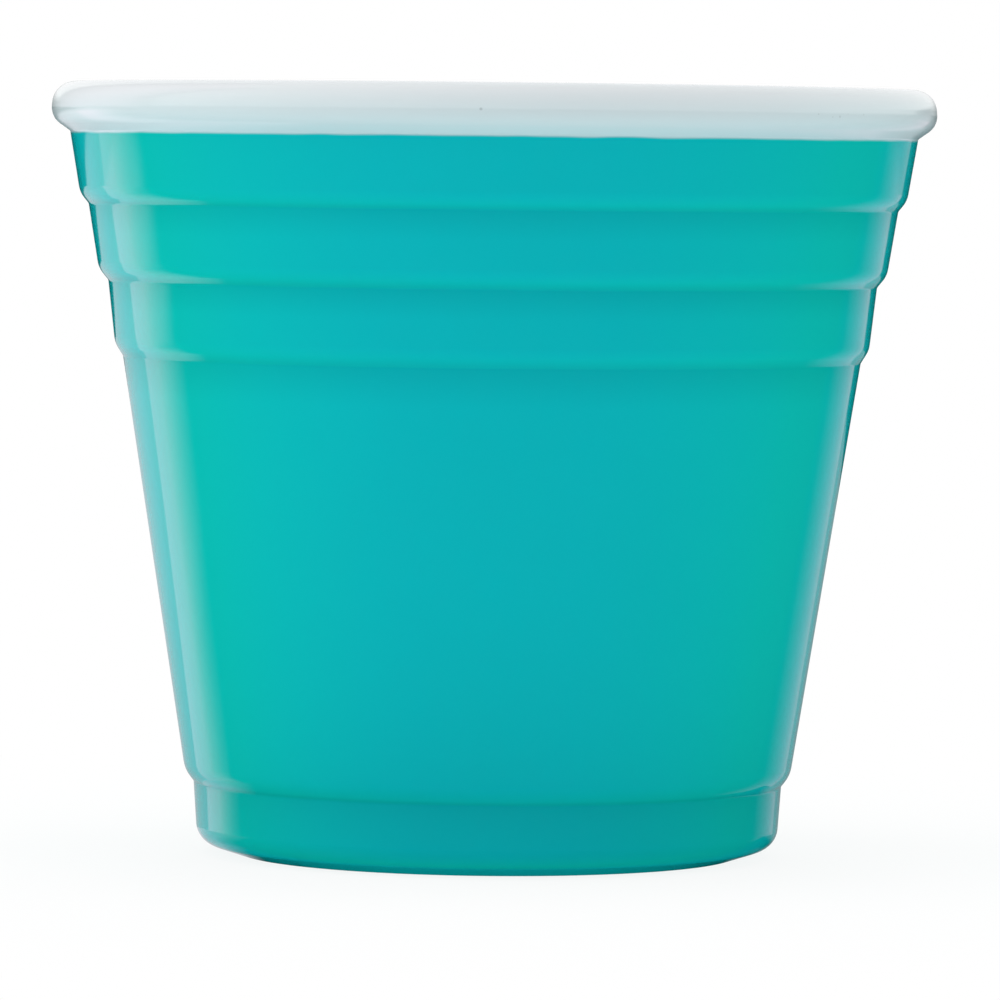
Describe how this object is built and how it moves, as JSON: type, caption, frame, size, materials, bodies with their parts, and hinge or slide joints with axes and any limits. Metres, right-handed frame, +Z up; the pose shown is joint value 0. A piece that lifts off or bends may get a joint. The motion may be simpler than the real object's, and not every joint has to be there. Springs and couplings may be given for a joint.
{
  "type": "plastic shot glass",
  "caption": "Squat tapered plastic shot glass shaped like a small party cup, with stepped bands under a thick rounded rim, an open hollow and a stepped foot.",
  "frame": {"origin": "centre of the foot, on the plane of the ring that it stands on", "axes": "+Z up along the cup's axis of revolution, from the foot to the open rim; +X and +Y are any two square directions across it"},
  "size_m": [0.057, 0.057, 0.0495],
  "materials": {
    "teal_plastic": "gloss teal outside, gloss white rim and inside"
  },
  "bodies": {
    "root": {"cup": "teal_plastic"}
  },
  "joints": []
}
